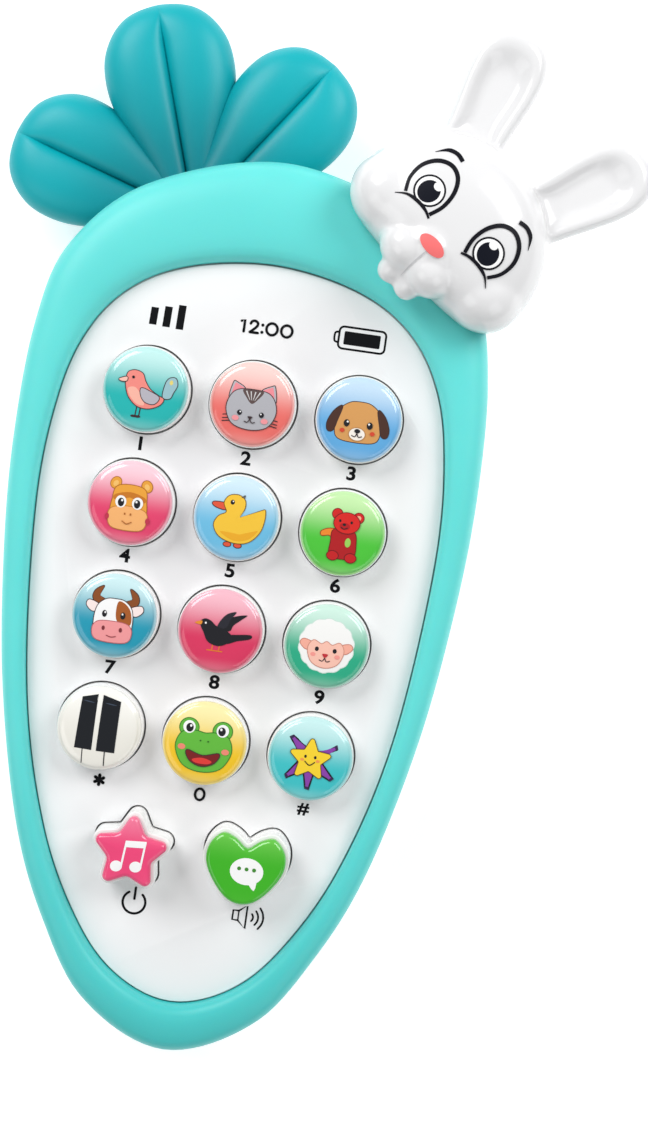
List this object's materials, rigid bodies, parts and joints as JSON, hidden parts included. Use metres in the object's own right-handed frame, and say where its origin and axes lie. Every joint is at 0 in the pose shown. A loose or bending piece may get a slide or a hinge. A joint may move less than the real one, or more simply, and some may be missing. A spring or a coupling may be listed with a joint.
{
  "type": "toy phone",
  "caption": "Carrot-shaped toy phone with a soft ring, chewable leaves, a rabbit's head, round push keys, star and heart buttons, a speaker and a battery bay.",
  "frame": {"origin": "on the flat back, on the handset's line of symmetry, between the battery door and the speaker grille", "axes": "+Z out of the face, +Y along the handset towards the leaves, +X to the right seen from the face; the toy lies on its back"},
  "size_m": [0.1106, 0.1835, 0.0376],
  "materials": {
    "ring_silicone": "satin",
    "leaf_tpe": "satin",
    "face_white": "satin",
    "rear_white": "satin",
    "head_white": "gloss",
    "key_white": "gloss",
    "lens_1": "gloss",
    "lens_2": "gloss",
    "lens_3": "gloss",
    "lens_4": "gloss",
    "lens_5": "gloss",
    "lens_6": "gloss",
    "lens_7": "gloss",
    "lens_8": "gloss",
    "lens_9": "gloss",
    "lens_asterisk": "gloss",
    "lens_0": "gloss",
    "lens_hash": "gloss",
    "lens_star": "gloss",
    "lens_heart": "gloss",
    "screw_steel": "brushed",
    "membrane_silicone": "matte",
    "board_green": "satin",
    "speaker_steel": "satin",
    "speaker_cone": "matte",
    "cell_wrap": "satin",
    "contact_steel": "polished",
    "lead_red": "satin",
    "lead_black": "satin"
  },
  "bodies": {
    "housing": {"soft_ring": "ring_silicone", "leaf_teether": "leaf_tpe", "front_panel": "face_white", "rear_shell": "rear_white", "head_front_shell": "head_white", "head_back_shell": "head_white", "housing_screw_1": "screw_steel", "housing_screw_2": "screw_steel", "housing_screw_3": "screw_steel", "housing_screw_4": "screw_steel", "housing_screw_5": "screw_steel", "head_screw": "screw_steel", "head_shell_screw": "screw_steel", "board_screw_1": "screw_steel", "board_screw_2": "screw_steel", "keypad_membrane": "membrane_silicone", "circuit_board": "board_green", "speaker_frame": "speaker_steel", "speaker_cone": "speaker_cone", "battery_cell_1": "cell_wrap", "battery_spring_1": "contact_steel", "battery_cell_2": "cell_wrap", "battery_spring_2": "contact_steel", "spring_plate": "contact_steel", "contact_plate": "contact_steel", "battery_lead": "lead_red", "speaker_lead": "lead_black"},
    "key_1": {"key_cap_1": "key_white", "key_lens_1": "lens_1"},
    "key_2": {"key_cap_2": "key_white", "key_lens_2": "lens_2"},
    "key_3": {"key_cap_3": "key_white", "key_lens_3": "lens_3"},
    "key_4": {"key_cap_4": "key_white", "key_lens_4": "lens_4"},
    "key_5": {"key_cap_5": "key_white", "key_lens_5": "lens_5"},
    "key_6": {"key_cap_6": "key_white", "key_lens_6": "lens_6"},
    "key_7": {"key_cap_7": "key_white", "key_lens_7": "lens_7"},
    "key_8": {"key_cap_8": "key_white", "key_lens_8": "lens_8"},
    "key_9": {"key_cap_9": "key_white", "key_lens_9": "lens_9"},
    "key_asterisk": {"key_cap_asterisk": "key_white", "key_lens_asterisk": "lens_asterisk"},
    "key_0": {"key_cap_0": "key_white", "key_lens_0": "lens_0"},
    "key_hash": {"key_cap_hash": "key_white", "key_lens_hash": "lens_hash"},
    "star_button": {"star_button_cap": "key_white", "star_button_lens": "lens_star"},
    "heart_button": {"heart_button_cap": "key_white", "heart_button_lens": "lens_heart"},
    "battery_door": {"battery_door": "rear_white", "battery_door_screw": "screw_steel"}
  },
  "joints": [
    {"name": "key_1_press", "type": "slide", "parent": "housing", "child": "key_1", "axis": [0, 0, -1], "range_m": [0, 0.0015], "stiffness_N_per_m": 300, "deforming": ["keypad_membrane"]},
    {"name": "key_2_press", "type": "slide", "parent": "housing", "child": "key_2", "axis": [0, 0, -1], "range_m": [0, 0.0015], "stiffness_N_per_m": 300, "deforming": ["keypad_membrane"]},
    {"name": "key_3_press", "type": "slide", "parent": "housing", "child": "key_3", "axis": [0, 0, -1], "range_m": [0, 0.0015], "stiffness_N_per_m": 300, "deforming": ["keypad_membrane"]},
    {"name": "key_4_press", "type": "slide", "parent": "housing", "child": "key_4", "axis": [0, 0, -1], "range_m": [0, 0.0015], "stiffness_N_per_m": 300, "deforming": ["keypad_membrane"]},
    {"name": "key_5_press", "type": "slide", "parent": "housing", "child": "key_5", "axis": [0, 0, -1], "range_m": [0, 0.0015], "stiffness_N_per_m": 300, "deforming": ["keypad_membrane"]},
    {"name": "key_6_press", "type": "slide", "parent": "housing", "child": "key_6", "axis": [0, 0, -1], "range_m": [0, 0.0015], "stiffness_N_per_m": 300, "deforming": ["keypad_membrane"]},
    {"name": "key_7_press", "type": "slide", "parent": "housing", "child": "key_7", "axis": [0, 0, -1], "range_m": [0, 0.0015], "stiffness_N_per_m": 300, "deforming": ["keypad_membrane"]},
    {"name": "key_8_press", "type": "slide", "parent": "housing", "child": "key_8", "axis": [0, 0, -1], "range_m": [0, 0.0015], "stiffness_N_per_m": 300, "deforming": ["keypad_membrane"]},
    {"name": "key_9_press", "type": "slide", "parent": "housing", "child": "key_9", "axis": [0, 0, -1], "range_m": [0, 0.0015], "stiffness_N_per_m": 300, "deforming": ["keypad_membrane"]},
    {"name": "key_asterisk_press", "type": "slide", "parent": "housing", "child": "key_asterisk", "axis": [0, 0, -1], "range_m": [0, 0.0015], "stiffness_N_per_m": 300, "deforming": ["keypad_membrane"]},
    {"name": "key_0_press", "type": "slide", "parent": "housing", "child": "key_0", "axis": [0, 0, -1], "range_m": [0, 0.0015], "stiffness_N_per_m": 300, "deforming": ["keypad_membrane"]},
    {"name": "key_hash_press", "type": "slide", "parent": "housing", "child": "key_hash", "axis": [0, 0, -1], "range_m": [0, 0.0015], "stiffness_N_per_m": 300, "deforming": ["keypad_membrane"]},
    {"name": "star_button_press", "type": "slide", "parent": "housing", "child": "star_button", "axis": [0, 0, -1], "range_m": [0, 0.0015], "stiffness_N_per_m": 300, "deforming": ["keypad_membrane"]},
    {"name": "heart_button_press", "type": "slide", "parent": "housing", "child": "heart_button", "axis": [0, 0, -1], "range_m": [0, 0.0015], "stiffness_N_per_m": 300, "deforming": ["keypad_membrane"]},
    {"name": "battery_door_lift", "type": "slide", "parent": "housing", "child": "battery_door", "axis": [0, 0, -1], "range_m": [0, 0.02]}
  ]
}
